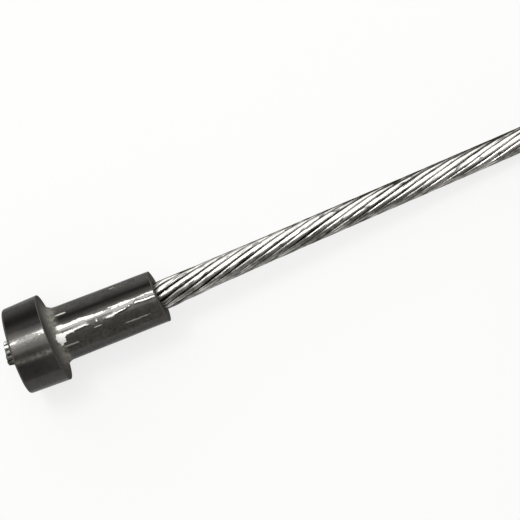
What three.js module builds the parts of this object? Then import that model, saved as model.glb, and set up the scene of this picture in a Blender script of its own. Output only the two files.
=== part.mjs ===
// Inner cable of a bicycle brake. A flanged metal head sits on the end of a strand of nineteen steel
// wires, whose cut tips stand out of the flange. The strand leads away from the shank, comes down
// onto the surface and is put up in a round coil.
//
// Millimetres, +Z up. The head's axis runs along +X, towards the cable, and the head lies on the rim
// of its flange, so that z = 0 is the surface that it lies on. The origin is below the middle of the
// head, counted from the tips of the wires to the end of the shank.

import * as THREE from "three";

// Sizes of the head, a die casting of flange and shank in one
const flangeDiameter = 5.7;
const flangeThickness = 2.53;
const flangeDraft = 0.07;
const flangeRimRound = 0.16;
const seatEdgeBreak = 0.06;
const shankDiameter = 3.5;
const shankTaper = 0.05;
const shankLength = 7.15;
const shankEndBreak = 0.06;
const rootFillet = 0.5;
const boreClearance = 0.03;
const boreMouthBreak = 0.06;

// Sizes of the strand: one core wire, six wires round it and twelve outside, in a left-hand lay
const strandDiameter = 1.6;
const wireGap = 0.02;
const layLength = 18.4;
const stubLength = 0.68;
const shearSlope = 0.12;
const innerWireCount = 6;
const outerWireCount = 12;

// Sizes of the cable beyond the head
const cableGap = 0.3;
const coilMiddleDiameter = 19.2;
const coilColumns = 4;
const coilLayers = 4;

// Fineness of the round shapes
const headSides = 72;
const arcSteps = 3;
const wireSides = 8;
const wireStepsPerTurn = 22;
const cableSides = 8;
const cableStepInDiameters = 2.5;
const coilSides = 48;
const coilArcSteps = 2;

// Route of the cable from the end of the shank to the place where it joins the coil's outer turn:
// distance along the head's axis, distance to the side, and height above the surface
const leadPoints = [
  [0.0, 0.0, 2.85],
  [2.5, 0.07, 2.81],
  [5.0, 0.18, 2.7],
  [7.5, 0.27, 2.53],
  [10.0, 0.37, 2.32],
  [12.5, 0.46, 2.08],
  [15.0, 0.55, 1.83],
  [17.5, 0.64, 1.57],
  [20.0, 0.73, 1.33],
  [22.5, 0.82, 1.12],
  [25.0, 0.92, 0.95],
  [27.5, 1.01, 0.84],
  [30.0, 1.1, 0.8],
  [33.0, 1.2, 0.8],
  [36.4, 1.28, 0.8],
];

// Sizes that follow from the ones above
const flangeRadius = flangeDiameter / 2;
const shankRadius = shankDiameter / 2;
const strandRadius = strandDiameter / 2;
const boreRadius = strandRadius + boreClearance;
const axisHeight = flangeRadius;

// Places along the head's axis
const exitX = (stubLength + flangeThickness + shankLength) / 2;
const seatX = exitX - shankLength;
const faceX = seatX - flangeThickness;
const stubX = faceX - stubLength;

// A layer of wires that touch each other and fill a circle from inside: how many there are, the
// distance from the strand's axis to the wires' own, and how thick each may be
function wireLayer(outsideRadius, wires) {
  const count = Math.round(wires);
  const halfStep = Math.sin(Math.PI / count);
  const room = (2 * outsideRadius * halfStep) / (1 + halfStep);
  return { count, radius: outsideRadius - room / 2, room };
}

// The strand from outside in. The core wire fills what the inner layer leaves
const outerLayer = wireLayer(strandRadius, outerWireCount);
const innerLayer = wireLayer(strandRadius - outerLayer.room, innerWireCount);
const core = { radius: 0, room: 2 * (innerLayer.radius - innerLayer.room / 2) };

const castMetal = new THREE.MeshStandardMaterial({ color: 0x3b3a38, metalness: 0.9, roughness: 0.42 });
const steelWire = new THREE.MeshStandardMaterial({ color: 0xb4b1a6, metalness: 1.0, roughness: 0.3 });
const steelCable = new THREE.MeshStandardMaterial({ color: 0xa9a69b, metalness: 1.0, roughness: 0.35 });

const innerCable = new THREE.Group();

function addPiece(name, geometry, material) {
  const piece = new THREE.Mesh(geometry, material);
  piece.name = name;
  innerCable.add(piece);
  return piece;
}

// The head's section, as radius and place along the axis: outer face, round rim, drafted side, seat
// face, fillet, tapered shank, end face and bore
function headSection() {
  const section = new THREE.Path();
  const faceRadius = flangeRadius - flangeDraft;
  const endRadius = shankRadius - shankTaper;
  section.moveTo(boreRadius + boreMouthBreak, faceX);
  section.lineTo(faceRadius - flangeRimRound, faceX);
  section.absarc(faceRadius - flangeRimRound, faceX + flangeRimRound, flangeRimRound, -Math.PI / 2, 0, false);
  section.lineTo(flangeRadius, seatX - seatEdgeBreak);
  section.lineTo(flangeRadius - seatEdgeBreak, seatX);
  section.absarc(shankRadius + rootFillet, seatX + rootFillet, rootFillet, -Math.PI / 2, -Math.PI, true);
  section.lineTo(endRadius, exitX - shankEndBreak);
  section.lineTo(endRadius - shankEndBreak, exitX);
  section.lineTo(boreRadius + boreMouthBreak, exitX);
  section.lineTo(boreRadius, exitX - boreMouthBreak);
  section.lineTo(boreRadius, faceX + boreMouthBreak);
  section.lineTo(boreRadius + boreMouthBreak, faceX);
  return section.getPoints(arcSteps);
}

function makeHead() {
  const geometry = new THREE.LatheGeometry(headSection(), headSides);
  geometry.rotateZ(-Math.PI / 2);
  const head = addPiece("cable_head", geometry, castMetal);
  head.position.z = axisHeight;
}

// A round section of a wire or of the cable, as a polygon
function roundSection(radius, sides) {
  const corners = [];
  for (let i = 0; i < sides; i += 1) {
    const angle = (2 * Math.PI * i) / sides;
    corners.push(new THREE.Vector2(radius * Math.cos(angle), radius * Math.sin(angle)));
  }
  return new THREE.Shape(corners);
}

// The line of one wire: a left-hand helix about the head's axis, from its tip to the shank's end
class WireLine extends THREE.Curve {
  constructor(radius, startAngle, tipX) {
    super();
    this.radius = radius;
    this.startAngle = startAngle;
    this.tipX = tipX;
  }

  getPoint(t, target = new THREE.Vector3()) {
    const x = this.tipX + (exitX - this.tipX) * t;
    const angle = this.startAngle - (2 * Math.PI * (x - stubX)) / layLength;
    return target.set(x, this.radius * Math.cos(angle), this.radius * Math.sin(angle));
  }
}

// The strand was sheared slightly askew, so the wires on the +Y side are the shortest
function makeWire(name, layer, startAngle) {
  const side = layer.radius * Math.cos(startAngle);
  const tipX = stubX + shearSlope * (side + outerLayer.radius);
  const line = new WireLine(layer.radius, startAngle, tipX);
  const turns = (exitX - tipX) / layLength;
  const steps = layer.radius > 0 ? Math.ceil(turns * wireStepsPerTurn) : 1;
  const section = roundSection((layer.room - wireGap) / 2, wireSides);
  const geometry = new THREE.ExtrudeGeometry(section, {
    steps,
    bevelEnabled: false,
    extrudePath: line,
  });
  const wire = addPiece(name, geometry, steelWire);
  wire.position.z = axisHeight;
}

function makeStrandInHead() {
  makeWire("core_wire", core, 0);
  for (let i = 0; i < innerLayer.count; i += 1) {
    makeWire(`inner_wire_${i + 1}`, innerLayer, (2 * Math.PI * i) / innerLayer.count);
  }
  for (let i = 0; i < outerLayer.count; i += 1) {
    makeWire(`outer_wire_${i + 1}`, outerLayer, (2 * Math.PI * i) / outerLayer.count);
  }
}

// A stretch of a longer line, between two shares of its length
class Stretch extends THREE.Curve {
  constructor(whole, start, end) {
    super();
    this.whole = whole;
    this.start = start;
    this.end = end;
  }

  getPoint(t, target = new THREE.Vector3()) {
    return this.whole.getPointAt(this.start + (this.end - this.start) * t, target);
  }
}

// The coil's bundle of turns: the cable joins its outer turn in the lowest layer
const coilOuterRadius = (coilMiddleDiameter + coilColumns * strandDiameter) / 2;
const coilInnerRadius = (coilMiddleDiameter - coilColumns * strandDiameter) / 2;
const coilHeight = coilLayers * strandDiameter;
const lead = new THREE.CatmullRomCurve3(
  leadPoints.map(([along, aside, height]) => new THREE.Vector3(exitX + along, aside, height)),
);

// The free stretch starts a gap away from the shank and stops a gap away from the coil's side,
// which it nears along a tangent of the outer turn
function makeLead() {
  const length = lead.getLength();
  const turnRadius = coilOuterRadius - strandRadius;
  const nearSide = turnRadius - strandRadius;
  const stopBefore = Math.sqrt((coilOuterRadius + cableGap) ** 2 - nearSide ** 2);
  const stretch = new Stretch(lead, cableGap / length, 1 - stopBefore / length);
  const steps = Math.ceil((length - cableGap - stopBefore) / (cableStepInDiameters * strandDiameter));
  const geometry = new THREE.ExtrudeGeometry(roundSection(strandRadius, cableSides), {
    steps,
    bevelEnabled: false,
    extrudePath: stretch,
  });
  addPiece("cable_lead", geometry, steelCable);
}

// The outer shape of the coil: a ring whose corners are as round as the cable
function makeCoil() {
  const section = new THREE.Path();
  const round = strandRadius;
  const quarter = Math.PI / 2;
  section.absarc(coilOuterRadius - round, round, round, -quarter, 0, false);
  section.absarc(coilOuterRadius - round, coilHeight - round, round, 0, quarter, false);
  section.absarc(coilInnerRadius + round, coilHeight - round, round, quarter, 2 * quarter, false);
  section.absarc(coilInnerRadius + round, round, round, 2 * quarter, 3 * quarter, false);
  section.lineTo(coilOuterRadius - round, 0);
  const geometry = new THREE.LatheGeometry(section.getPoints(coilArcSteps), coilSides);
  geometry.rotateX(Math.PI / 2);
  const coil = addPiece("cable_coil", geometry, steelCable);

  // The centre lies to the right of the lead's end, square to its direction
  const end = lead.getPoint(1);
  const heading = lead.getTangent(1);
  const turnRadius = coilOuterRadius - strandRadius;
  coil.position.set(end.x + turnRadius * heading.y, end.y - turnRadius * heading.x, 0);
}

makeHead();
makeStrandInHead();
makeLead();
makeCoil();

export default innerCable;
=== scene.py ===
import math

import bpy
import numpy as np
from mathutils import Matrix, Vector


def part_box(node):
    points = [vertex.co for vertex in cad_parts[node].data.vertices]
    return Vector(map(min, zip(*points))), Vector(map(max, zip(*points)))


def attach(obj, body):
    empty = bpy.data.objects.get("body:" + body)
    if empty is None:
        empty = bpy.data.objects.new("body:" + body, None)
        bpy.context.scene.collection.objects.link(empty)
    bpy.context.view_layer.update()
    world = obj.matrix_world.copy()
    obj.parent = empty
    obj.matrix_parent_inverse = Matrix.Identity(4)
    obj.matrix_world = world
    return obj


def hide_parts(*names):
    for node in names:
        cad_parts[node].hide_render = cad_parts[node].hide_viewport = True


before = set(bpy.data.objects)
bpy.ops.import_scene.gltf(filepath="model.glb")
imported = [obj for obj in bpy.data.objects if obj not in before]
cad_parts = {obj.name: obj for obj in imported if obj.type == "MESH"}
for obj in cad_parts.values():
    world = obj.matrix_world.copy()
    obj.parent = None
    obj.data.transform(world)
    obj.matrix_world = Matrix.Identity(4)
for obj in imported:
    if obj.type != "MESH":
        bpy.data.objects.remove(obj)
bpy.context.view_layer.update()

bl_info = {
    "name": "Bicycle inner cable",
    "version": (1, 0, 0),
    "blender": (4, 5, 0),
    "location": "View3D > Sidebar > Inner cable",
    "description": "Makes a brake cable with a cast head, its stranded wire and coil, and a plain studio",
    "category": "Add Mesh",
}

MM = 0.001

# The photograph's frame, where the end of the shank lies in it, and the camera's sensor in mm
IMAGE_SIDE = 520
EXIT_PIXEL = (159.5, 295.9)
SENSOR_WIDTH = 36.0

# The head's box gives the height of its axis and the place where the strand leaves the shank, and
# the longest wire's box the place of its tip
HEAD_LOW, HEAD_HIGH = (np.array(corner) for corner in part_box("cable_head"))
AXIS_HEIGHT = (HEAD_LOW[2] + HEAD_HIGH[2]) / 2
FLANGE_RADIUS = (HEAD_HIGH[2] - HEAD_LOW[2]) / 2
FACE_X = HEAD_LOW[0]
EXIT = np.array([HEAD_HIGH[0], 0.0, AXIS_HEIGHT])
STUB_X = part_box("outer_wire_7")[0][0]

# The route of the free cable, from inside the bore to the coil's outer turn: distance along the
# head's axis from the exit, distance to the side, and height above the floor, in metres
LEAD_POINTS = np.array([
    (-0.0012, 0.0, 0.00285),
    (0.0, 0.0, 0.00285),
    (0.0025, 0.00007, 0.00281),
    (0.005, 0.00018, 0.0027),
    (0.0075, 0.00027, 0.00253),
    (0.01, 0.00037, 0.00232),
    (0.0125, 0.00046, 0.00208),
    (0.015, 0.00055, 0.00183),
    (0.0175, 0.00064, 0.00157),
    (0.02, 0.00073, 0.00133),
    (0.0225, 0.00082, 0.00112),
    (0.025, 0.00092, 0.00095),
    (0.0275, 0.00101, 0.00084),
    (0.03, 0.0011, 0.0008),
    (0.033, 0.0012, 0.0008),
    (0.0364, 0.00128, 0.0008),
])

# Scratches on the shank: middle, in mm from the seat face; place round the shank, in degrees from
# the top towards +Y; half length in mm; half width in degrees; strength
SCRATCHES = [
    (4.6, 66.0, 0.25, 2.5, 0.75),
    (1.1, 44.0, 0.36, 2.2, 0.85),
    (1.1, -27.5, 0.55, 2.4, 0.75),
    (5.5, -27.5, 1.1, 2.2, 0.7),
    (3.1, -12.0, 0.4, 2.0, 0.6),
]

# Points of the smooth line for each step of the route, and for each turn of the coil
LEAD_SAMPLES = 24
TURN_SAMPLES = 500

# The strand has one core wire, six inner wires and twelve outer ones
INNER_WIRES = 6
OUTER_WIRES = 12

# Points round a free wire, round the free core and round a wire in the head, and how far the
# points of a wire crowd towards its outer side
FREE_WIRE_SIDES = 10
CORE_SIDES = 8
TIP_SIDES = 16
WIRE_CROWDING = 0.35

# How the free wires stray: seed of the first wire, longest wave, and size of the stray, which is an
# angle for the first and a share for the others
ANGLE_STRAY = (40, 19 * MM, math.radians(2.4))
SWELL_STRAY = (70, 17 * MM, 0.35)
THICKNESS_STRAY = (90, 9 * MM, 0.03)

# Distance along the noise of the steel from one wire to the next, so that no two look alike
NOISE_SHIFT = 0.05

# Distances from the shank: where the painted dark strip and the painted dark line at the lead's
# +Y outline get wider, and where its painted shade, old grease and dirt end. The coil keeps an even
# thin film
STRIP_SPREAD = (6 * MM, 16 * MM)
LEAD_SHADE_AND_DIRT = (28 * MM, 40 * MM)
COIL_FILM = 0.36

# The far end: length over which the wires are fused, and distances of its rings from the very end
FUSED_LENGTH = 1.5 * MM
FAR_END_RINGS = np.array([1.4, 0.9, 0.5, 0.2, 0.0]) * MM

# The cut tips: slope of the shear across the strand, most that a tip falls short of it, and lean of
# the stub towards +Y
SHEAR_SLOPE = 0.12
SHEAR_RAGGED = 0.06 * MM
STUB_LEAN = 0.19

# Rings of a wire in the head: how far the first ones are from its tip, the share of its thickness
# at each of them, and the number of the others
TIP_RINGS = np.array([0.0, 0.012, 0.03]) * MM
TIP_SHARES = (0.8, 0.94, 0.99)
WIRE_RINGS = 60

# The head: distance between its rings, points round it and how far they crowd towards the top, and
# the bore's broken edge at the flange's face
HEAD_SPACING = 0.062 * MM
HEAD_SIDES = 300
HEAD_CROWDING = 0.75
BORE_BREAK = 0.06 * MM

# Share of plain white in the floor where it is seen, half of its side, and how far it lies below
# the head, so that the two don't touch
WHITE_SHARE = 0.75
FLOOR_HALF = 2.0
FLOOR_DROP = 0.02 * MM

# Lamps: offset from the shank's end, width and depth
LAMPS = {
    "window": ((-0.035, 0.1225, 0.34), 0.28, 0.365),
    "strip": ((-0.047, 0.14, 0.31), 0.07, 0.08),
    "side": ((0.06, 0.5, 0.17), 0.8, 0.3),
}


# Sizes and colours that a user would change

class HeadSizes(bpy.types.PropertyGroup):
    """Sizes of the cast head"""

    flange_thickness: bpy.props.FloatProperty(
        name="Flange thickness", description="Length of the flange along the axis",
        default=2.53 * MM, unit="LENGTH", precision=5)
    flange_draft: bpy.props.FloatProperty(
        name="Flange draft", description="Radius that the flange loses towards its outer face",
        default=0.07 * MM, unit="LENGTH", precision=5)
    rim_round: bpy.props.FloatProperty(
        name="Rim round", description="Radius of the flange's outer rim",
        default=0.16 * MM, unit="LENGTH", precision=5)
    seat_edge: bpy.props.FloatProperty(
        name="Seat edge", description="Radius of the edge of the seat face",
        default=0.05 * MM, unit="LENGTH", precision=5)
    shank_diameter: bpy.props.FloatProperty(
        name="Shank diameter", description="Diameter of the shank at its root",
        default=3.5 * MM, unit="LENGTH", precision=5)
    shank_taper: bpy.props.FloatProperty(
        name="Shank taper", description="Radius that the shank loses towards its end",
        default=0.05 * MM, unit="LENGTH", precision=5)
    root_fillet: bpy.props.FloatProperty(
        name="Root fillet", description="Radius of the fillet between shank and seat face",
        default=0.72 * MM, unit="LENGTH", precision=5)
    end_round: bpy.props.FloatProperty(
        name="End round", description="Radius of the edge at the shank's end",
        default=0.06 * MM, unit="LENGTH", precision=5)
    bore_diameter: bpy.props.FloatProperty(
        name="Bore diameter", description="Diameter of the hole that the strand fills",
        default=1.66 * MM, unit="LENGTH", precision=5)
    bore_mouth: bpy.props.FloatProperty(
        name="Bore mouth", description="Radius of the hole's edge at the shank's end",
        default=0.2 * MM, unit="LENGTH", precision=5)
    unevenness: bpy.props.FloatProperty(
        name="Unevenness", description="Height of the casting's gentle waves",
        default=0.012 * MM, unit="LENGTH", precision=6)
    seam_height: bpy.props.FloatProperty(
        name="Seam height", description="Height of the mould's seam along the shank",
        default=0.022 * MM, unit="LENGTH", precision=6)
    ovality: bpy.props.FloatProperty(
        name="Ovality", description="How far the shank's flanks stand out from a circle",
        default=0.035 * MM, unit="LENGTH", precision=6)


class StrandSizes(bpy.types.PropertyGroup):
    """Sizes of the strand and of the coil"""

    diameter: bpy.props.FloatProperty(
        name="Strand diameter", description="Diameter over the outer wires",
        default=1.6 * MM, unit="LENGTH", precision=5)
    free_length: bpy.props.FloatProperty(
        name="Free length", description="Length of the cable from the shank to its far end",
        default=0.99, unit="LENGTH", precision=4)
    lay_length: bpy.props.FloatProperty(
        name="Lay length", description="Length in which an outer wire goes round once",
        default=18.4 * MM, unit="LENGTH", precision=5)
    swell: bpy.props.FloatProperty(
        name="Swell", description="How far the loosened wires stand out beside the shank",
        default=0.16 * MM, unit="LENGTH", precision=5)
    swell_length: bpy.props.FloatProperty(
        name="Swell length", description="Length over which the wires close up again",
        default=3.2 * MM, unit="LENGTH", precision=5)
    tighten: bpy.props.FloatProperty(
        name="Tighten", description="Share of its radius that the strand loses beyond the loose stretch",
        default=0.06, min=0.0, max=0.1)
    flat: bpy.props.FloatProperty(
        name="Flat", description="How far the wires are flattened on the outside of the strand",
        default=0.36, min=0.0, max=0.5)
    coil_middle: bpy.props.FloatProperty(
        name="Coil diameter", description="Diameter across the middle of the coil's turns",
        default=19.2 * MM, unit="LENGTH", precision=4)
    coil_columns: bpy.props.IntProperty(
        name="Coil columns", description="Turns beside each other in each layer of the coil",
        default=4, min=2, max=8)


class FinishColours(bpy.types.PropertyGroup):
    """Colours of the finishes, as sRGB values"""

    cast_dark: bpy.props.StringProperty(
        name="Cast metal, dark", description="Darker tone of the head", default="#302f2d")
    cast_light: bpy.props.StringProperty(
        name="Cast metal, light", description="Lighter tone of the head", default="#454340")
    # Bare metal, also used for painted highlights along the shank and the flange
    cast_bare_and_highlight: bpy.props.StringProperty(
        name="Cast metal, bare", description="Metal that shows where the head is scuffed",
        default="#b9b6ae")
    # Pale crumbled metal for the painted highlight at the foot of the shank
    cast_scar_highlight: bpy.props.StringProperty(
        name="Cast metal, scar", description="Crumbled metal where the sprue broke off", default="#f6f5f2")
    # A darker tone painted along the head's flank as a dark reflection
    cast_painted_dark_band: bpy.props.StringProperty(
        name="Cast metal, stained", description="Oily stain along the head's flank", default="#1d1b1a")
    # A paler skin tone for painted sheen and painted reflections on the head
    cast_painted_sheen: bpy.props.StringProperty(
        name="Cast metal, rubbed", description="Skin of the casting, rubbed paler by handling",
        default="#96938a")
    # A lighter grey painted on the faces square to the axis, for the tone that light gives them
    cast_face_painted_tone: bpy.props.StringProperty(
        name="Cast metal, faces", description="Dry grey faces square to the head's axis",
        default="#6b6a66")
    steel: bpy.props.StringProperty(
        name="Steel", description="Drawn steel wire", default="#eceae5")
    # A darker wire tone for painted shade, with grease
    steel_shade_and_grease: bpy.props.StringProperty(
        name="Steel, dull", description="Greased and dirty wire", default="#73726d")
    # A dark tone for dirt and painted shade between the wires
    groove_dirt_and_shade: bpy.props.StringProperty(
        name="Groove", description="Dirt between the wires", default="#302e29")
    floor: bpy.props.StringProperty(
        name="Floor", description="Floor of the studio", default="#f0f0ef")


class StudioSizes(bpy.types.PropertyGroup):
    """Camera and lamps"""

    camera_distance: bpy.props.FloatProperty(
        name="Camera distance", description="Distance from the camera to the shank's end",
        default=0.3, unit="LENGTH")
    pixels_per_mm: bpy.props.FloatProperty(
        name="Scale", description="Pixels of the picture for each millimetre at that distance",
        default=16.0)
    camera_tilt: bpy.props.FloatProperty(
        name="Camera tilt", description="Angle by which the camera leans towards the cable's side",
        default=math.radians(5.5), subtype="ANGLE")
    camera_turn: bpy.props.FloatProperty(
        name="Camera turn", description="Angle at which the head's axis rises in the picture",
        default=math.radians(21.3), subtype="ANGLE")
    ambient: bpy.props.FloatProperty(
        name="Ambient", description="Strength of the light from all round", default=0.38)
    window_radiance: bpy.props.FloatProperty(
        name="Window", description="Brightness of the wide soft lamp", default=2.1)
    strip_radiance: bpy.props.FloatProperty(
        name="Strip", description="Brightness of the narrow lamp above the head", default=17.0)
    side_radiance: bpy.props.FloatProperty(
        name="Side", description="Brightness of the low wide lamp behind the cable", default=1.5)


# Shapes as arrays of points

def unit(vectors):
    """Each vector divided by its length."""
    return vectors / np.linalg.norm(vectors, axis=-1, keepdims=True)


def smooth_step(values, low, high):
    """0 below low and 1 above high, with the cubic 3t^2 - 2t^3 between."""
    t = np.clip((values - low) / (high - low), 0.0, 1.0)
    return t * t * (3.0 - 2.0 * t)


def wander(places, seed, longest, waves=5):
    """A smooth uneven line between about -1 and 1: a sum of sines, each shorter and lower than the
    one before, with phases drawn from a seeded generator."""
    rng = np.random.default_rng(seed)
    orders = np.arange(1, waves + 1)
    phases = rng.uniform(0.0, 2.0 * math.pi, waves)
    turns = places[..., None] / longest * orders ** 1.3
    return (np.sin(2.0 * math.pi * turns + phases) / orders).sum(axis=-1) / 1.6


def catmull_rom(points, samples):
    """A smooth line through the points: between two of them, the cubic whose slope at each end is
    half the step from the point before it to the point after it."""
    ends = (2 * points[0] - points[1], 2 * points[-1] - points[-2])
    padded = np.vstack([ends[0], points, ends[1]])
    before, start, end, after = padded[:-3], padded[1:-2], padded[2:-1], padded[3:]
    t = np.linspace(0.0, 1.0, samples, endpoint=False)[None, :, None]
    before, start, end, after = (p[:, None, :] for p in (before, start, end, after))
    line = 0.5 * (2 * start + (end - before) * t
                  + (2 * before - 5 * start + 4 * end - after) * t ** 2
                  + (3 * start - before - 3 * end + after) * t ** 3)
    return np.vstack([line.reshape(-1, 3), points[-1:]])


def lengths_along(line):
    """Distance from the first point to each point, measured along the line."""
    steps = np.linalg.norm(np.diff(line, axis=0), axis=1)
    return np.concatenate([[0.0], np.cumsum(steps)])


def coil_line(turns, columns, pitch, inner_radius, centre, start_angle):
    """The line of a coil wound in flat layers, as a function of the number of turns. In a layer the
    radius falls or grows by one pitch a turn. Between two layers the line takes one turn to climb:
    it keeps one pitch from both the turn before and the turn after it, which puts it on the arc
    (1/2, 1/2) + (-1, 2f - 1) g, with g = sqrt(1 / q - 1 / 4) and q = (2f - 1)^2 + 1, in pitches, for
    the share f of the climb. Every second layer is the mirror image, wound outwards."""
    layer = np.floor(turns / columns)
    within = turns - columns * layer
    f = np.clip(within - (columns - 1), 0.0, 1.0)
    q = (2 * f - 1) ** 2 + 1
    g = np.sqrt(1 / q - 0.25)
    winding = within < columns - 1
    column = np.where(winding, columns - 1 - within, 0.5 - g)
    rise = np.where(winding, 0.0, 0.5 + (2 * f - 1) * g)
    column = np.where(layer % 2 == 0, column, columns - 1 - column)
    radius = inner_radius + pitch * column
    angle = start_angle - 2 * math.pi * turns
    return np.stack([
        centre[0] + radius * np.cos(angle),
        centre[1] + radius * np.sin(angle),
        pitch * (0.5 + layer + rise),
    ], axis=-1)


def cable_line(sizes):
    """The dense centreline of the free cable: the lead, then the coil, cut at the cable's length."""
    lead = catmull_rom(LEAD_POINTS + np.array([EXIT[0], 0.0, 0.0]), LEAD_SAMPLES)
    heading = unit(lead[-1] - lead[-2])
    outer_turn = sizes.coil_middle / 2 + (sizes.coil_columns - 1) / 2 * sizes.diameter
    inner_turn = outer_turn - (sizes.coil_columns - 1) * sizes.diameter
    centre = lead[-1] + outer_turn * np.array([heading[1], -heading[0], 0.0])
    start_angle = math.atan2(heading[0], -heading[1])
    # Five layers are more than the cable fills
    most_turns = 5 * sizes.coil_columns
    turns = np.linspace(0.0, most_turns, TURN_SAMPLES * most_turns)[1:]
    coil = coil_line(turns, sizes.coil_columns, sizes.diameter, inner_turn, centre, start_angle)
    line = np.vstack([lead, coil])
    along = lengths_along(line)
    end = np.searchsorted(along, sizes.free_length)
    return line[:end + 1], along[:end + 1]


def tube(centres, radii, first_side, angles, flat=0.0):
    """Rings of points round a line. A ring lies square to the line: its point at angle b is the
    centre plus the radius times (cos b, sin b) in the directions of the first side and of the
    line's direction crossed with it. The half that faces the first side is flattened: there
    cos b - flat (cos b)^3 takes the place of cos b."""
    along = unit(np.gradient(centres, axis=0))
    first = unit(first_side - (first_side * along).sum(-1, keepdims=True) * along)
    second = np.cross(along, first)
    out = np.cos(angles) - flat * np.clip(np.cos(angles), 0.0, None) ** 3
    turn = out[None, :, None] * first[:, None] + np.sin(angles)[None, :, None] * second[:, None]
    return centres[:, None] + radii[:, None, None] * turn


def tube_faces(rings, sides, offset):
    """Quads between neighbouring rings, and a polygon over each end, all facing outwards."""
    ring, side = np.meshgrid(np.arange(rings - 1), np.arange(sides), indexing="ij")
    here = ring * sides + side
    beside = ring * sides + (side + 1) % sides
    quads = np.stack([here, beside, beside + sides, here + sides], axis=-1).reshape(-1, 4) + offset
    start = np.arange(sides)[::-1] + offset
    end = np.arange(sides) + (rings - 1) * sides + offset
    return quads.tolist() + [start.tolist(), end.tolist()]


def lathe_faces(rings, sides):
    """Quads of a grid that closes on itself both along its section and round its axis."""
    ring, side = np.meshgrid(np.arange(rings), np.arange(sides), indexing="ij")
    here = ring * sides + side
    beside = ring * sides + (side + 1) % sides
    next_ring = (ring + 1) % rings * sides
    quads = np.stack([here, beside, next_ring + (side + 1) % sides, next_ring + side], axis=-1)
    return quads.reshape(-1, 4).tolist()


def new_piece(name, points, faces, material, measures=None):
    """A smooth mesh object at the origin, with a float or vector attribute for each measure."""
    mesh = bpy.data.meshes.new(name)
    mesh.from_pydata(points.tolist(), [], faces)
    mesh.shade_smooth()
    for title, values in (measures or {}).items():
        kind = "FLOAT_VECTOR" if values.ndim == 2 else "FLOAT"
        field = "vector" if values.ndim == 2 else "value"
        attribute = mesh.attributes.new(title, kind, "POINT")
        attribute.data.foreach_set(field, values.astype(np.float32).ravel())
    mesh.materials.append(material)
    piece = bpy.data.objects.new(name, mesh)
    bpy.context.scene.collection.objects.link(piece)
    return piece


# Materials

def linear(hex_colour):
    """An sRGB hex colour as linear red, green and blue, and an alpha of one."""
    values = np.array([int(hex_colour[i:i + 2], 16) / 255 for i in (1, 3, 5)])
    values = np.where(values <= 0.04045, values / 12.92, ((values + 0.055) / 1.055) ** 2.4)
    return (*values.tolist(), 1.0)


def add_node(tree, kind, settings=None, inputs=None):
    """A node with its settings, and with each input set to a value or linked to a socket."""
    node = tree.nodes.new(kind)
    for title, value in (settings or {}).items():
        setattr(node, title, value)
    for title, value in (inputs or {}).items():
        if isinstance(value, bpy.types.NodeSocket):
            tree.links.new(value, node.inputs[title])
        else:
            node.inputs[title].default_value = value
    return node


def new_material(name):
    """An empty node material and its output node."""
    material = bpy.data.materials.new(name)
    material.use_nodes = True
    material.node_tree.nodes.clear()
    output = add_node(material.node_tree, "ShaderNodeOutputMaterial")
    return material, material.node_tree, output


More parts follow.
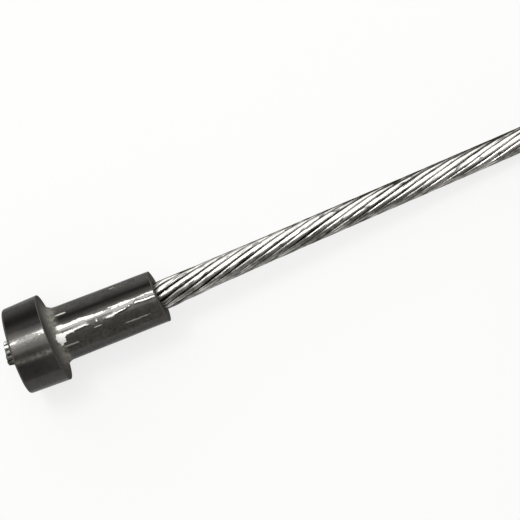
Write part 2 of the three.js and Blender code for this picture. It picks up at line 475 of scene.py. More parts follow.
def die_cast_metal(colours):
    """Dark die-cast zinc alloy: smooth from the mould with a thin dull skin, so it gives a wide
    satin sheen and a narrow broken highlight, and bare brighter metal where it has been rubbed. Its
    colour also holds painted highlights, painted sheen and reflections, and a painted dark band."""
    material, tree, output = new_material("die_cast_metal")
    place = add_node(tree, "ShaderNodeTexCoord").outputs["Object"]
    painted_dark_band, painted_sheen, dull_and_painted_tone, worn_and_highlight, scar_highlight = (
        add_node(tree, "ShaderNodeAttribute", {"attribute_name": title}).outputs["Fac"]
        for title in ("painted_dark_band", "painted_sheen", "dull_and_painted_tone", "worn_and_highlight", "scar_highlight"))
    # Clouds of about 1.4 mm in the skin of the casting
    clouds = add_node(tree, "ShaderNodeTexNoise", {}, {
        "Vector": place, "Scale": 1 / (1.4 * MM), "Detail": 3.0, "Roughness": 0.6}).outputs["Fac"]
    # Grain of about 0.12 mm, coarser than the real one so that it shows
    grain = add_node(tree, "ShaderNodeTexNoise", {}, {
        "Vector": place, "Scale": 1 / (0.12 * MM), "Detail": 2.0, "Roughness": 0.5}).outputs["Fac"]
    # Flow marks drawn out along the axis, 0.25 mm across and 2.5 mm long
    flow_place = add_node(tree, "ShaderNodeMapping", {}, {
        "Vector": place, "Scale": (0.1, 1.0, 1.0)}).outputs["Vector"]
    flow = add_node(tree, "ShaderNodeTexNoise", {}, {
        "Vector": flow_place, "Scale": 1 / (0.25 * MM), "Detail": 3.0, "Roughness": 0.6}).outputs["Fac"]
    # Crumbs of 0.2 mm break the edges of whatever is rubbed or torn
    crumbs = add_node(tree, "ShaderNodeTexNoise", {}, {
        "Vector": place, "Scale": 1 / (0.2 * MM), "Detail": 3.0, "Roughness": 0.6}).outputs["Fac"]
    tone = add_node(tree, "ShaderNodeMapRange", {}, {
        "Value": clouds, "From Min": 0.35, "From Max": 0.65}).outputs["Result"]
    skin = add_node(tree, "ShaderNodeMix", {"data_type": "RGBA"}, {
        0: tone, 6: linear(colours.cast_dark), 7: linear(colours.cast_light)}).outputs[2]
    speckle = add_node(tree, "ShaderNodeMapRange", {}, {
        "Value": crumbs, "From Min": 0.25, "From Max": 0.75}).outputs["Result"]
    painted_sheen_here = add_node(tree, "ShaderNodeMath", {"operation": "MULTIPLY"}, {
        0: painted_sheen, 1: speckle}).outputs["Value"]
    # Bare metal and painted highlights follow the flow marks, and their edge is crumbled
    streaks = add_node(tree, "ShaderNodeMath", {"operation": "MULTIPLY_ADD"}, {
        0: flow, 1: 1.6, 2: -1.05}).outputs["Value"]
    broken = add_node(tree, "ShaderNodeMath", {"operation": "MULTIPLY_ADD"}, {
        0: crumbs, 1: 0.5, 2: streaks}).outputs["Value"]
    worn_and_highlight_here = add_node(tree, "ShaderNodeMath", {"operation": "ADD"}, {
        0: worn_and_highlight, 1: broken}).outputs["Value"]
    bare_and_highlight = add_node(tree, "ShaderNodeMapRange", {"interpolation_type": "SMOOTHSTEP"}, {
        "Value": worn_and_highlight_here, "From Min": 0.42, "From Max": 0.62}).outputs["Result"]
    # The painted highlight at the foot of the shank is crumbled pale metal, so the crumbs break its edge and
    # it has no sheen
    scar_highlight_here = add_node(tree, "ShaderNodeMath", {"operation": "MULTIPLY_ADD"}, {
        0: crumbs, 1: 1.1, 2: scar_highlight}).outputs["Value"]
    crumbled_highlight = add_node(tree, "ShaderNodeMapRange", {"interpolation_type": "SMOOTHSTEP"}, {
        "Value": scar_highlight_here, "From Min": 1.0, "From Max": 1.12}).outputs["Result"]
    # On the skin lie the painted dark band, a lighter grey painted on the faces square to the axis, the
    # painted sheen, bare metal with painted highlights, and the scar's painted highlight
    colour = skin
    for share, layer in ((painted_dark_band, colours.cast_painted_dark_band), (dull_and_painted_tone, colours.cast_face_painted_tone),
                         (painted_sheen_here, colours.cast_painted_sheen), (bare_and_highlight, colours.cast_bare_and_highlight),
                         (crumbled_highlight, colours.cast_scar_highlight)):
        colour = add_node(tree, "ShaderNodeMix", {"data_type": "RGBA"}, {
            0: share, 6: colour, 7: linear(layer)}).outputs[2]
    satin = add_node(tree, "ShaderNodeMapRange", {}, {
        "Value": clouds, "From Min": 0.3, "From Max": 0.7,
        "To Min": 0.36, "To Max": 0.5}).outputs["Result"]
    unglossed = add_node(tree, "ShaderNodeMath", {"operation": "MAXIMUM"}, {
        0: dull_and_painted_tone, 1: crumbled_highlight}).outputs["Value"]
    rough = add_node(tree, "ShaderNodeMath", {"operation": "MULTIPLY_ADD"}, {
        0: unglossed, 1: 0.25, 2: satin}).outputs["Value"]
    # The skin's thin gloss is missing there, and on the painted dark band
    dry = add_node(tree, "ShaderNodeMath", {"operation": "MAXIMUM"}, {
        0: unglossed, 1: painted_dark_band}).outputs["Value"]
    gloss = add_node(tree, "ShaderNodeMapRange", {}, {
        "Value": dry, "To Min": 0.5, "To Max": 0.0}).outputs["Result"]
    height = add_node(tree, "ShaderNodeMath", {"operation": "MULTIPLY_ADD"}, {
        0: flow, 1: 2.0, 2: grain}).outputs["Value"]
    bump = add_node(tree, "ShaderNodeBump", {}, {
        "Height": height, "Strength": 0.35, "Distance": 0.006 * MM}).outputs["Normal"]
    shader = add_node(tree, "ShaderNodeBsdfPrincipled", {}, {
        "Base Color": colour, "Metallic": 1.0, "Roughness": rough, "Normal": bump,
        "Specular Tint": linear("#606060"), "Coat Weight": gloss, "Coat Roughness": 0.12})
    tree.links.new(shader.outputs["BSDF"], output.inputs["Surface"])
    return material


def drawn_steel_wire(colours):
    """Bright drawn steel wire, greased: hard narrow highlights with fine lines along each wire, black
    dirt and painted shade where the wires meet, and painted shade on one side of the lead."""
    material, tree, output = new_material("drawn_steel_wire")
    # wire_place is round the wire and along it, in metres, so that marks run along the wire
    place = add_node(tree, "ShaderNodeAttribute", {"attribute_name": "wire_place"}).outputs["Vector"]
    drawn = add_node(tree, "ShaderNodeMapping", {}, {
        "Vector": place, "Scale": (1.0, 1.0, 0.08)}).outputs["Vector"]
    # Drawing lines 0.08 mm across and 1 mm long
    lines = add_node(tree, "ShaderNodeTexNoise", {}, {
        "Vector": drawn, "Scale": 1 / (0.08 * MM), "Detail": 2.0, "Roughness": 0.6}).outputs["Fac"]
    # Dents and flats 0.25 mm across and 0.8 mm long, from winding the strand
    dented = add_node(tree, "ShaderNodeMapping", {}, {
        "Vector": place, "Scale": (1.0, 1.0, 0.3)}).outputs["Vector"]
    dents = add_node(tree, "ShaderNodeTexNoise", {}, {
        "Vector": dented, "Scale": 1 / (0.25 * MM), "Detail": 1.0, "Roughness": 0.5}).outputs["Fac"]
    # Patches of grease and dirt of about 1.1 mm
    world_place = add_node(tree, "ShaderNodeTexCoord").outputs["Object"]
    grease = add_node(tree, "ShaderNodeTexNoise", {}, {
        "Vector": world_place, "Scale": 1 / (1.1 * MM), "Detail": 4.0, "Roughness": 0.65}).outputs["Fac"]
    # The film of painted shade and old grease on the wires, which darkens and dulls them, is uneven
    shade_and_grease = add_node(tree, "ShaderNodeAttribute", {"attribute_name": "shade_and_grease"}).outputs["Fac"]
    patchy = add_node(tree, "ShaderNodeMapRange", {}, {
        "Value": grease, "From Min": 0.3, "From Max": 0.7,
        "To Min": -0.35, "To Max": 0.35}).outputs["Result"]
    dull_and_painted_tone = add_node(tree, "ShaderNodeMath", {"operation": "ADD", "use_clamp": True}, {
        0: shade_and_grease, 1: patchy}).outputs["Value"]
    steel = add_node(tree, "ShaderNodeMix", {"data_type": "RGBA"}, {
        0: dull_and_painted_tone, 6: linear(colours.steel), 7: linear(colours.steel_shade_and_grease)}).outputs[2]
    # The dirt and painted shade in the grooves are wider where the wire is dull and shaded, and uneven along
    # each wire
    groove_dirt_and_shade = add_node(tree, "ShaderNodeAttribute", {"attribute_name": "groove_dirt_and_shade"}).outputs["Fac"]
    widened = add_node(tree, "ShaderNodeMath", {"operation": "MULTIPLY_ADD"}, {
        0: dull_and_painted_tone, 1: 0.3, 2: groove_dirt_and_shade}).outputs["Value"]
    uneven = add_node(tree, "ShaderNodeMath", {"operation": "MULTIPLY_ADD"}, {
        0: dents, 1: 1.8, 2: -1.2}).outputs["Value"]
    packed = add_node(tree, "ShaderNodeMath", {"operation": "ADD", "use_clamp": True}, {
        0: widened, 1: uneven}).outputs["Value"]
    # Nicks 0.15 mm across and 0.7 mm long, filled with the same dirt
    nicked = add_node(tree, "ShaderNodeMapping", {}, {
        "Vector": place, "Scale": (1.0, 1.0, 0.22), "Location": (0.0, 0.0, 0.7)}).outputs["Vector"]
    nick_noise = add_node(tree, "ShaderNodeTexNoise", {}, {
        "Vector": nicked, "Scale": 1 / (0.15 * MM), "Detail": 0.0}).outputs["Fac"]
    nicks = add_node(tree, "ShaderNodeMapRange", {"interpolation_type": "SMOOTHSTEP"}, {
        "Value": nick_noise, "From Min": 0.63, "From Max": 0.72, "To Max": 0.75}).outputs["Result"]
    dirt = add_node(tree, "ShaderNodeMath", {"operation": "MAXIMUM"}, {
        0: packed, 1: nicks}).outputs["Value"]
    colour = add_node(tree, "ShaderNodeMix", {"data_type": "RGBA"}, {
        0: dirt, 6: steel, 7: linear(colours.groove_dirt_and_shade)}).outputs[2]
    smeared = add_node(tree, "ShaderNodeMapRange", {}, {
        "Value": grease, "From Min": 0.3, "From Max": 0.8,
        "To Min": 0.28, "To Max": 0.42}).outputs["Result"]
    rough = add_node(tree, "ShaderNodeMath", {"operation": "MULTIPLY_ADD"}, {
        0: dull_and_painted_tone, 1: 0.3, 2: smeared}).outputs["Value"]
    height = add_node(tree, "ShaderNodeMath", {"operation": "MULTIPLY_ADD"}, {
        0: dents, 1: 8.0, 2: lines}).outputs["Value"]
    bump = add_node(tree, "ShaderNodeBump", {}, {
        "Height": height, "Strength": 0.6, "Distance": 0.005 * MM}).outputs["Normal"]
    shader = add_node(tree, "ShaderNodeBsdfPrincipled", {}, {
        "Base Color": colour, "Metallic": 1.0, "Roughness": rough, "Normal": bump,
        "Specular Tint": linear("#8a8a8a")})
    tree.links.new(shader.outputs["BSDF"], output.inputs["Surface"])
    return material


def matt_paper(colours):
    """White matt paper of the floor: no gloss, and an even tone."""
    material, tree, output = new_material("matt_paper")
    paper = add_node(tree, "ShaderNodeBsdfPrincipled", {}, {
        "Base Color": linear(colours.floor), "Roughness": 1.0,
        "Specular IOR Level": 0.0}).outputs["BSDF"]
    # Seen straight, or in metal, the paper is lifted to white and keeps a share of its shadows
    white = add_node(tree, "ShaderNodeEmission", {}, {"Strength": 1.0}).outputs["Emission"]
    ray = add_node(tree, "ShaderNodeLightPath")
    in_metal = add_node(tree, "ShaderNodeMath", {"operation": "MAXIMUM"}, {
        0: ray.outputs["Is Glossy Ray"], 1: ray.outputs["Is Transmission Ray"]}).outputs["Value"]
    shown = add_node(tree, "ShaderNodeMath", {"operation": "MAXIMUM"}, {
        0: in_metal, 1: ray.outputs["Is Camera Ray"]}).outputs["Value"]
    share = add_node(tree, "ShaderNodeMath", {"operation": "MULTIPLY"}, {
        0: shown, 1: WHITE_SHARE}).outputs["Value"]
    mix = add_node(tree, "ShaderNodeMixShader", {}, {0: share, 1: paper, 2: white})
    tree.links.new(mix.outputs["Shader"], output.inputs["Surface"])
    return material


def finish(title, maker):
    """The material of that name, made once."""
    return bpy.data.materials.get(title) or maker(bpy.context.scene.cable_colours)


# Wires

def crowded_angles(sides, crowding):
    """Angles once round, closer together near zero: each is an even angle less the crowding times
    its sine."""
    even = np.linspace(-math.pi, math.pi, sides, endpoint=False)
    return even - crowding * np.sin(even)


def head_phase(x, start_angle, lay_length):
    """Angle of a wire round the axis at x: the left-hand lay turns it back by one turn a lay."""
    return start_angle - 2 * math.pi * (x - STUB_X) / lay_length


def wire_stray(places, wire, stray):
    """How far one wire strays at each place: the size of the stray times the wire's own wander."""
    seed, longest, size = stray
    return size * wander(places, seed + wire, longest)


def dirt_and_shade_in_grooves(angles, across):
    """How deep each point of a wire lies in the dirt and painted shade of the grooves beside its
    neighbours, from 0 on its outer side to 1 where it touches them. The dark starts 70 degrees from the
    outer side, and at 44 on both flanks of the strand, where the distance across it, in its radii, is
    near 1, so that painted shade shows between the wires there."""
    clean = math.radians(70) - math.radians(26) * smooth_step(np.abs(across), 0.35, 0.85)
    return smooth_step((np.abs(angles) - clean) / math.radians(28), 0.0, 1.0)


def place_on_wire(angles, along, wire_radius):
    """The place of each point on a straightened wire: its section's circle, and the way along."""
    shape = (len(along), len(angles))
    return np.stack([
        np.broadcast_to(wire_radius * np.cos(angles), shape),
        np.broadcast_to(wire_radius * np.sin(angles), shape),
        np.broadcast_to(along[:, None], shape),
    ], axis=-1)


def shade_and_grease_film(across, facing, free, shade_and_dirt_share):
    """How much painted shade and old grease darken and dull each point of a free wire, from 0 to 1. On
    the lead the -Y side carries painted shade, from an edge that shifts with the distance from the
    shank, and a narrow strip of the +Y flank carries a painted dark reflection. Across is the distance
    from the strand's middle, in its radii, and facing that from the wire's own middle, in its radii,
    both towards +Y on the lead."""
    # Painted shade on the -Y side, from an edge that shifts along the lead
    edge = 0.14 - 0.38 * smooth_step(free, 4 * MM, 24 * MM)
    much = 0.85 + 0.15 * smooth_step(free, 4 * MM, 12 * MM)
    shaded_side = smooth_step(edge - 0.65 * across - 0.35 * facing, -0.15, 0.3)
    less = 1 - 0.4 * smooth_step(-across, 0.5, 0.85)
    spread = smooth_step(free, *STRIP_SPREAD)
    # A narrow strip of the +Y flank painted darker as a dark reflection
    strip = smooth_step((across + facing) / 2 + 0.22 * spread, 0.78, 0.9) * (0.9 + 0.4 * spread)
    shade_and_grease = np.maximum(much * (shaded_side * less), strip)
    return COIL_FILM + (shade_and_grease - COIL_FILM) * shade_and_dirt_share


def painted_dark_rim(share, free, shade_and_dirt_share):
    """A painted dark line along the +Y flank of the lead, standing in for a dark reflection at its
    outline, where the share of the way out to the strand's outline is near 1. It widens and pales
    with the distance from the shank."""
    spread = smooth_step(free, *STRIP_SPREAD)
    return smooth_step(share + 0.17 * spread, 0.88, 0.95) * (1 - 0.12 * spread) * shade_and_dirt_share


class Strand:
    """Gathers the wires that make up one piece"""

    def __init__(self):
        self.points, self.faces = [], []
        self.grooves, self.places, self.films = [], [], []

    def add(self, rings, groove_dirt_and_shade, place, shade_and_grease):
        """One more wire: its rings of points, dirt and painted shade, place on the straightened wire, and
        painted shade and grease.
        """
        shape = rings.shape[:2]
        self.faces += tube_faces(*shape, sum(len(points) for points in self.points))
        self.points.append(rings.reshape(-1, 3))
        self.grooves.append(np.broadcast_to(groove_dirt_and_shade, shape).ravel())
        self.places.append(np.broadcast_to(place, rings.shape).reshape(-1, 3))
        self.films.append(np.broadcast_to(shade_and_grease, shape).ravel())

    def make(self, name):
        """The piece of all the wires."""
        steel = finish("drawn_steel_wire", drawn_steel_wire)
        return new_piece(name, np.vstack(self.points), self.faces, steel, {
            "groove_dirt_and_shade": np.concatenate(self.grooves),
            "wire_place": np.vstack(self.places),
            "shade_and_grease": np.concatenate(self.films),
        })


# Camera

def placed(x_axis, y_axis, z_axis, place):
    """The matrix of an object with these axes at that place."""
    rows = np.vstack([np.stack([x_axis, y_axis, z_axis, place], axis=-1), [0.0, 0.0, 0.0, 1.0]])
    return Matrix(rows.tolist())


class CABLE_OT_camera(bpy.types.Operator):
    """Put the camera above the head, where the photograph was taken from"""

    bl_idname = "cable.camera"
    bl_label = "Camera"

    def execute(self, context):
        studio = context.scene.cable_studio
        tilt, turn = studio.camera_tilt, studio.camera_turn
        forward = np.array([-math.sin(tilt), 0.0, -math.cos(tilt)])
        level = np.array([math.cos(tilt), 0.0, -math.sin(tilt)])
        square = np.cross(level, forward)
        right = level * math.cos(turn) - square * math.sin(turn)
        up = level * math.sin(turn) + square * math.cos(turn)
        aside = (EXIT_PIXEL[0] - IMAGE_SIDE / 2) / studio.pixels_per_mm * MM
        above = (IMAGE_SIDE / 2 - EXIT_PIXEL[1]) / studio.pixels_per_mm * MM
        place = EXIT - forward * studio.camera_distance - right * aside - up * above
        data = bpy.data.cameras.new("camera")
        data.sensor_fit = "HORIZONTAL"
        data.sensor_width = SENSOR_WIDTH
        data.lens = SENSOR_WIDTH * studio.camera_distance / MM * studio.pixels_per_mm / IMAGE_SIDE
        data.clip_start = 5 * MM
        camera = bpy.data.objects.new("camera", data)
        camera.matrix_world = placed(right, up, -forward, place)
        context.scene.collection.objects.link(camera)
        context.scene.camera = camera
        return {"FINISHED"}


# Cable

class CABLE_OT_cable(bpy.types.Operator):
    """Lay twelve outer wires round a core along the cable's line, from the shank to its far end"""

    bl_idname = "cable.cable"
    bl_label = "Cable and coil"

    fine_step: bpy.props.FloatProperty(
        name="Fine step", description="Distance between rings on the lead", default=0.3 * MM, unit="LENGTH")
    coarse_step: bpy.props.FloatProperty(
        name="Coarse step", description="Distance between rings in the coil", default=1.6 * MM, unit="LENGTH")

    def execute(self, context):
        sizes = context.scene.cable_strand
        line, along = cable_line(sizes)
        lead_length = lengths_along(catmull_rom(LEAD_POINTS, LEAD_SAMPLES))[-1]
        # The coarse rings stop short of those at the far end
        stations = np.concatenate([
            np.arange(0.0, lead_length, self.fine_step),
            np.arange(lead_length, sizes.free_length - 1.2 * self.coarse_step, self.coarse_step),
            sizes.free_length - FAR_END_RINGS,
        ])
        centres = np.stack([np.interp(stations, along, line[:, i]) for i in range(3)], axis=-1)
        heading = unit(np.gradient(centres, stations, axis=0))
        side = unit(np.cross([0.0, 0.0, 1.0], heading))
        up = np.cross(heading, side)

        # Beyond the shank the wires stand apart and run straighter, and then close up
        pitch = sizes.diameter / 5
        strand_radius = sizes.diameter / 2
        outside = stations + LEAD_POINTS[0, 0]
        free = np.clip(outside, 0.0, None)
        swell = sizes.swell * smooth_step(outside, -0.3 * MM, 0.25 * MM) * np.exp(-free / sizes.swell_length)
        snug = 1 - sizes.tighten * smooth_step(free, 2 * MM, 24 * MM)
        straighter = 0.3 * np.exp(-free / (1.2 * MM)) * (outside > 0)
        rate = 2 * math.pi / sizes.lay_length * (1 - straighter)
        turned = np.concatenate([[0.0], np.cumsum(rate[1:] * np.diff(stations))])

        # The painted shade, old grease and dirt are on the lead, and the coil is cleaner
        shade_and_dirt_share = 1 - smooth_step(free, *LEAD_SHADE_AND_DIRT)[:, None]
        # At the far end the wires are fused together, so that they don't splay
        fused = smooth_step(stations, sizes.free_length - FUSED_LENGTH, sizes.free_length)
        apart = (1 - fused)[:, None]

        first_x = EXIT[0] + LEAD_POINTS[0, 0]
        angles = crowded_angles(FREE_WIRE_SIDES, WIRE_CROWDING)
        strand = Strand()
        for i in range(OUTER_WIRES):
            start = head_phase(first_x, 2 * math.pi * i / OUTER_WIRES, sizes.lay_length)
            phase = start - turned + wire_stray(stations, i, ANGLE_STRAY) * smooth_step(free, 0.0, 2 * MM)
            # A flattened wire lies further out, by most of what it has lost there. Towards the far
            # end the wires draw in and thicken, so that they run into each other
            radius = (2 * pitch * (snug - 0.14 * fused) + 0.85 * sizes.flat * pitch / 2
                      + swell * (1 + wire_stray(stations, i, SWELL_STRAY)))
            outward = np.cos(phase)[:, None] * side + np.sin(phase)[:, None] * up
            wire_line = centres + radius[:, None] * outward
            uneven = 1.03 + wire_stray(stations, i, THICKNESS_STRAY)
            thickness = pitch / 2 * uneven * (1 + 0.3 * fused)
            rings = tube(wire_line, thickness, outward, angles, sizes.flat)
            across = ((rings - centres[:, None]) * side[:, None]).sum(axis=-1) / strand_radius
            facing = ((rings - wire_line[:, None]) * side[:, None]).sum(axis=-1) / thickness[:, None]
            widest = ((radius + (1 - sizes.flat) * thickness) / strand_radius)[:, None]
            # A painted dark line at the +Y outline, and dirt with painted shade in the grooves
            rim = painted_dark_rim(across / widest, free[:, None], shade_and_dirt_share)
            strand.add(rings,
                       np.maximum(dirt_and_shade_in_grooves(angles, across * shade_and_dirt_share), rim) * apart,
                       place_on_wire(angles, stations + NOISE_SHIFT * i, pitch / 2),
                       shade_and_grease_film(across, facing, free[:, None], shade_and_dirt_share))

        # The seven wires inside show only as a core, painted dark all over as shade, a little thinner than
        # their three pitches
        core_angles = np.linspace(0.0, 2 * math.pi, CORE_SIDES, endpoint=False)
        strand.add(tube(centres, 1.45 * pitch * snug, up, core_angles), apart, 0.0, 1.0)

        cable = strand.make("cable")
        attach(cable, "root")
        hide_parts("cable_lead", "cable_coil")
        return {"FINISHED"}


class CABLE_OT_wires_in_head(bpy.types.Operator):
    """Lay the nineteen wires that pass through the head, with their cut tips outside the flange"""

    bl_idname = "cable.wires_in_head"
    bl_label = "Wires in the head"

    def execute(self, context):
        sizes = context.scene.cable_strand
        pitch = sizes.diameter / 5
        # The wires end inside the bore, 0.1 mm past the place where the free ones start
        end_x = EXIT[0] + LEAD_POINTS[0, 0] + 0.1 * MM
        angles = crowded_angles(TIP_SIDES, WIRE_CROWDING)
        strand = Strand()
        for wires, layer_radius in [(1, 0.0), (INNER_WIRES, pitch), (OUTER_WIRES, 2 * pitch)]:
            for i in range(wires):
                start = 2 * math.pi * i / wires
                slope = SHEAR_SLOPE * (layer_radius * math.cos(start) + 2 * pitch)
                ragged = SHEAR_RAGGED * math.sin(5.1 * i + 2.0 * wires)
                tip_x = STUB_X + slope + max(ragged, 0.0)
                x = np.concatenate([tip_x + TIP_RINGS, np.linspace(tip_x + 0.1 * MM, end_x, WIRE_RINGS)])
                phase = head_phase(x, start, sizes.lay_length)
                outward = np.stack([0 * x, np.cos(phase), np.sin(phase)], axis=-1)
                aside = STUB_LEAN * np.clip(FACE_X - x, 0.0, None)
                wire_line = np.stack([x, aside, 0 * x + AXIS_HEIGHT], axis=-1) + layer_radius * outward
                # A wire is a little thinner than its room
                thickness = np.full(len(x), pitch / 2 * 0.97)
                thickness[:len(TIP_SHARES)] *= TIP_SHARES
                rings = tube(wire_line, thickness, outward, angles)
                across = (rings[..., 1] - aside[:, None]) / (sizes.diameter / 2)
                # Painted shade darkens the corner at the flange's face, and the -Y side of the stub is
                # painted darker as shade
                root = smooth_step(x, FACE_X - 0.22 * MM, FACE_X - 0.05 * MM)[:, None]
                stub_shade = 0.45 * smooth_step(0.45 - across, 0.0, 0.4)
                strand.add(rings,
                           np.clip(1.15 * dirt_and_shade_in_grooves(angles, across) + 0.95 * root + stub_shade, 0.0, 1.0),
                           place_on_wire(angles, x + (NOISE_SHIFT * i + layer_radius), pitch / 2),
                           smooth_step(0.5 - across, -0.1, 0.3))

        wires_in_head = strand.make("wires_in_head")
        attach(wires_in_head, "root")
        inner = [f"inner_wire_{i + 1}" for i in range(INNER_WIRES)]
        outer = [f"outer_wire_{i + 1}" for i in range(OUTER_WIRES)]
        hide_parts("core_wire", *inner, *outer)
        return {"FINISHED"}


# Head

def arc(centre, radius, start, end, steps):
    """Points on a circle, from one angle to another, in degrees."""
    angles = np.radians(np.linspace(start, end, steps + 1))
    return np.stack([centre[0] + radius * np.cos(angles), centre[1] + radius * np.sin(angles)], axis=-1)


def head_section(sizes, spacing):
    """The head's closed section as places along the axis and radii: straight stretches and arcs,
    resampled so that its points are a spacing apart."""
    seat_x = FACE_X + sizes.flange_thickness
    face_radius = FLANGE_RADIUS - sizes.flange_draft
    root_radius = sizes.shank_diameter / 2
    end_radius = root_radius - sizes.shank_taper
    bore = sizes.bore_diameter / 2
    mouth = sizes.bore_mouth
    rim, edge, fillet, tip = sizes.rim_round, sizes.seat_edge, sizes.root_fillet, sizes.end_round
    corners = np.vstack([
        [(FACE_X, bore + BORE_BREAK)],
        arc((FACE_X + rim, face_radius - rim), rim, 180, 90, 8),
        arc((seat_x - edge, FLANGE_RADIUS - edge), edge, 90, 0, 4),
        arc((seat_x + fillet, root_radius + fillet), fillet, 180, 270, 8),
        arc((EXIT[0] - tip, end_radius - tip), tip, 90, 0, 4),
        arc((EXIT[0] - mouth, bore + mouth), mouth, 0, -90, 5),
        arc((FACE_X + BORE_BREAK, bore + BORE_BREAK), BORE_BREAK, 270, 180, 3),
    ])
    steps = np.linalg.norm(np.diff(corners, axis=0), axis=1)
    counts = np.maximum(1, np.round(steps / spacing)).astype(int)
    # The wall of the bore is hidden, so it has rings at its ends only
    in_bore = corners[:-1, 1] + corners[1:, 1] < 2.01 * bore
    counts = np.where(in_bore, 1, counts)
    shares = [np.arange(n) / n for n in counts]
    return np.vstack([a + t[:, None] * (b - a) for a, b, t in zip(corners[:-1], corners[1:], shares)])


def band(turn, middle, half_width):
    """A soft stripe along the head, its middle and half width in degrees: exp(-d^2), where d is the
    distance from the middle in half widths."""
    return np.exp(-((turn - np.radians(middle)) / np.radians(half_width)) ** 2)


class CABLE_OT_head(bpy.types.Operator):
    """Turn the section of flange and shank round the axis, with a casting's unevenness and wear"""

    bl_idname = "cable.head"
    bl_label = "Head"

    def execute(self, context):
        sizes = context.scene.cable_head
        section = head_section(sizes, HEAD_SPACING)
        x, radius = section[:, 0], section[:, 1]
        ahead = np.roll(section, -1, axis=0) - np.roll(section, 1, axis=0)
        normal = unit(np.stack([-ahead[:, 1], ahead[:, 0]], axis=-1))

        # Angle zero is the top of the head, which faces the camera, and it grows towards +Y. The
        # points are four times closer there than on average
        turn = crowded_angles(HEAD_SIDES, HEAD_CROWDING)[None, :]
        place = x[:, None]
        seat_x = FACE_X + sizes.flange_thickness
        side_wall = smooth_step(normal[:, 1:], 0.93, 0.995)
        on_shank = smooth_step(place, seat_x + 0.15 * MM, seat_x + 0.5 * MM) * side_wall
        on_flange = smooth_step(place, seat_x, seat_x - 0.1 * MM) * side_wall

        # Gentle waves, and the seam where the halves of the mould met: a low ridge, torn in places
        waves = (np.cos(2 * turn + 0.7) * np.sin(place / (1.9 * MM))
                 + 0.6 * np.cos(5 * turn + place / (0.8 * MM))
                 + 0.5 * np.sin(9 * turn - place / (0.55 * MM) + 1.0))
        near_end = smooth_step(place, EXIT[0] - 3.4 * MM, EXIT[0] - 1.0 * MM)
        seam_middle = -1.5 + 6.0 * near_end + 1.4 * wander(place, seed=3, longest=3.1 * MM)
        tears = wander(place, seed=12, longest=2.3 * MM, waves=7)
        torn = smooth_step(tears, -0.8 - 0.6 * near_end, 0.3 - 0.4 * near_end)
        seam = band(turn, seam_middle, 2.9) * on_shank
        past_bore = (radius > sizes.bore_diameter / 2 * 1.15)[:, None]
        lift = sizes.unevenness * 0.4 * waves * past_bore + sizes.seam_height * torn * seam
        # The halves of the mould were a little askew, which leaves the shank slightly oval
        lift = lift - sizes.ovality * np.sin(2 * turn) * on_shank
        out = radius[:, None] + lift * normal[:, 1:]
        # The faces aren't quite square to the axis: each leans by a slope across the head
        slopes = np.array([
            (FACE_X, 0.04),
            (seat_x - 0.9 * MM, 0.0),
            (seat_x, -0.024),
            (seat_x + 0.4 * MM, 0.0),
            (EXIT[0] - 1.5 * MM, 0.0),
            (EXIT[0], -0.066),
        ])
        lean = np.interp(x, slopes[:, 0], slopes[:, 1])[:, None]
        points = np.stack([
            place + lift * normal[:, :1] + lean * out * np.sin(turn),
            out * np.sin(turn),
            AXIS_HEIGHT + out * np.cos(turn),
        ], axis=-1).reshape(-1, 3)

        # Bare metal, partly painted highlight: the torn seam, a painted highlight line beside it, a painted
        # highlight line on the flange, and scratches
        near_seat = smooth_step(place, seat_x - 0.75 * MM, seat_x - 0.2 * MM)
        second_highlight_middle = 14.0 + 1.2 * wander(place, seed=8, longest=5 * MM)
        beside = band(turn, second_highlight_middle, 4.5) * on_shank
        flange_highlight = (0.4 + 0.24 * near_seat) * band(turn, 11.5, 4.0) * on_flange
        worn_and_highlight = np.maximum(np.maximum(0.75 * torn * seam, 0.72 * beside), flange_highlight)
        for middle, degrees, half_length, half_width, strength in SCRATCHES:
            along = (place - seat_x - middle * MM) / (half_length * MM)
            round_it = (turn - math.radians(degrees)) / math.radians(half_width)
            worn_and_highlight = np.maximum(worn_and_highlight, strength * np.exp(-along ** 4 - round_it ** 2) * on_shank)

        # A painted highlight at the foot of the shank, made as a scar of pale crumbled metal, with a tail
        scar_along = (place - seat_x - 0.62 * MM) / (0.34 * MM)
        scar_round = (turn + math.radians(9.5) + 0.3 * scar_along * math.radians(9.0)) / math.radians(12.0)
        tail_along = (place - seat_x - 1.25 * MM) / (0.6 * MM)
        tail_round = (turn + math.radians(2.0)) / math.radians(4.5)
        tail = 0.75 * np.exp(-(tail_along ** 2 + tail_round ** 2))
        scar_highlight = np.exp(-(scar_along ** 2 + scar_round ** 2)) + tail

        # Painted sheen: two paler stripes on the flange, two on the shank, and a ring of painted reflection
        # in the fillet
        fillet_reflection = np.exp(-((place - seat_x - 0.42 * MM) / (0.24 * MM)) ** 2) * (place > seat_x)
        painted_sheen = (0.3 * band(turn, 9.0, 6.0) * on_flange
                  + (1.0 + 0.4 * near_seat) * band(turn, -15.0, 3.2) * on_flange
                  + 0.3 * band(turn, -32.0, 20.0) * on_shank
                  + 0.3 * band(turn, 66.0, 14.0) * on_shank
                  + 1.5 * fillet_reflection)

        # A painted dark band along the flank, standing in for a dark reflection there
        painted_dark_band = band(turn, 34.0 + 5.0 * on_flange, 12.0 + 5.0 * on_flange) * (side_wall > 0)
        # Faces square to the axis are duller, and painted a lighter grey for their lit tone
        dull_and_painted_tone = np.broadcast_to(1.0 - side_wall, painted_dark_band.shape)
        faces = lathe_faces(len(section), HEAD_SIDES)
        head = new_piece("head", points, faces, finish("die_cast_metal", die_cast_metal), {
            "worn_and_highlight": worn_and_highlight.ravel(), "scar_highlight": scar_highlight.ravel(), "painted_dark_band": painted_dark_band.ravel(), "dull_and_painted_tone": dull_and_painted_tone.ravel(),
            "painted_sheen": painted_sheen.ravel()})
        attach(head, "root")
        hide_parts("cable_head")
        return {"FINISHED"}


# Studio

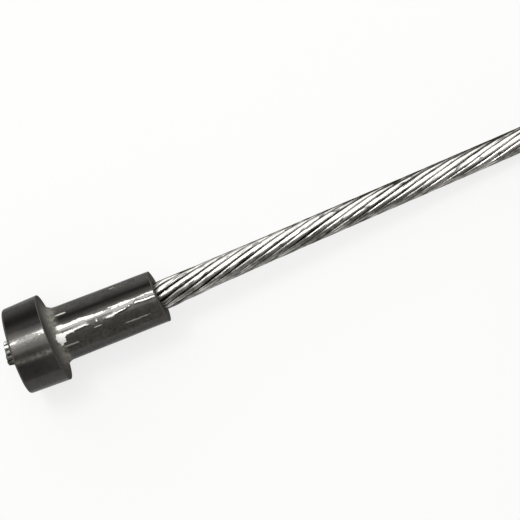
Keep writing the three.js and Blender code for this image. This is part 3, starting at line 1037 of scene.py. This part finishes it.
def add_lamp(name, offset, width, depth, radiance):
    """A rectangular lamp at an offset from the shank's end, facing it, with its width along X. Its
    power is the radiance times pi times its area."""
    data = bpy.data.lights.new(name, "AREA")
    data.shape = "RECTANGLE"
    data.size, data.size_y = width, depth
    data.energy = radiance * math.pi * width * depth
    away = unit(np.array(offset))
    along = np.array([1.0, 0.0, 0.0])
    across = unit(along - (along @ away) * away)
    lamp = bpy.data.objects.new(name, data)
    lamp.matrix_world = placed(across, np.cross(away, across), away, EXIT + np.array(offset))
    bpy.context.scene.collection.objects.link(lamp)


class CABLE_OT_studio(bpy.types.Operator):
    """Lay the floor and hang the lamps"""

    bl_idname = "cable.studio"
    bl_label = "Studio"

    def execute(self, context):
        studio = context.scene.cable_studio
        corners = FLOOR_HALF * np.array([(-1, -1, 0), (1, -1, 0), (1, 1, 0), (-1, 1, 0)])
        corners[:, 2] = -FLOOR_DROP
        floor = new_piece("floor", corners, [[0, 1, 2, 3]], finish("matt_paper", matt_paper))

        context.scene.view_settings.view_transform = "Standard"
        world = bpy.data.worlds.new("studio")
        context.scene.world = world
        world.use_nodes = True
        tree = world.node_tree
        tree.nodes.clear()
        light = add_node(tree, "ShaderNodeBackground", {}, {
            "Color": (1.0, 0.985, 0.96, 1.0), "Strength": studio.ambient})
        output = add_node(tree, "ShaderNodeOutputWorld")
        tree.links.new(light.outputs["Background"], output.inputs["Surface"])

        for name, (offset, width, depth) in LAMPS.items():
            add_lamp(name, offset, width, depth, getattr(studio, name + "_radiance"))
        return {"FINISHED"}


class CABLE_PT_panel(bpy.types.Panel):
    """Lists what makes the cable"""

    bl_label = "Inner cable"
    bl_space_type = "VIEW_3D"
    bl_region_type = "UI"
    bl_category = "Inner cable"

    def draw(self, context):
        for operator in OPERATORS:
            self.layout.operator(operator.bl_idname)
        for group, (title, kind) in GROUPS.items():
            box = self.layout.box()
            box.label(text=title)
            for name in kind.__annotations__:
                box.prop(getattr(context.scene, group), name)


GROUPS = {
    "cable_head": ("Head", HeadSizes),
    "cable_strand": ("Strand", StrandSizes),
    "cable_colours": ("Colours", FinishColours),
    "cable_studio": ("Studio", StudioSizes),
}
OPERATORS = (CABLE_OT_camera, CABLE_OT_cable, CABLE_OT_wires_in_head, CABLE_OT_head, CABLE_OT_studio)


def register():
    for group, (title, kind) in GROUPS.items():
        bpy.utils.register_class(kind)
        setattr(bpy.types.Scene, group, bpy.props.PointerProperty(name=title, type=kind))
    for operator in OPERATORS:
        bpy.utils.register_class(operator)
    bpy.utils.register_class(CABLE_PT_panel)


def unregister():
    bpy.utils.unregister_class(CABLE_PT_panel)
    for operator in reversed(OPERATORS):
        bpy.utils.unregister_class(operator)
    for group, (_, kind) in reversed(GROUPS.items()):
        delattr(bpy.types.Scene, group)
        bpy.utils.unregister_class(kind)


def main():
    register()
    bpy.ops.cable.camera()
    bpy.ops.cable.cable()
    bpy.ops.cable.wires_in_head()
    bpy.ops.cable.head()
    bpy.ops.cable.studio()


if __name__ == "__main__":
    main()
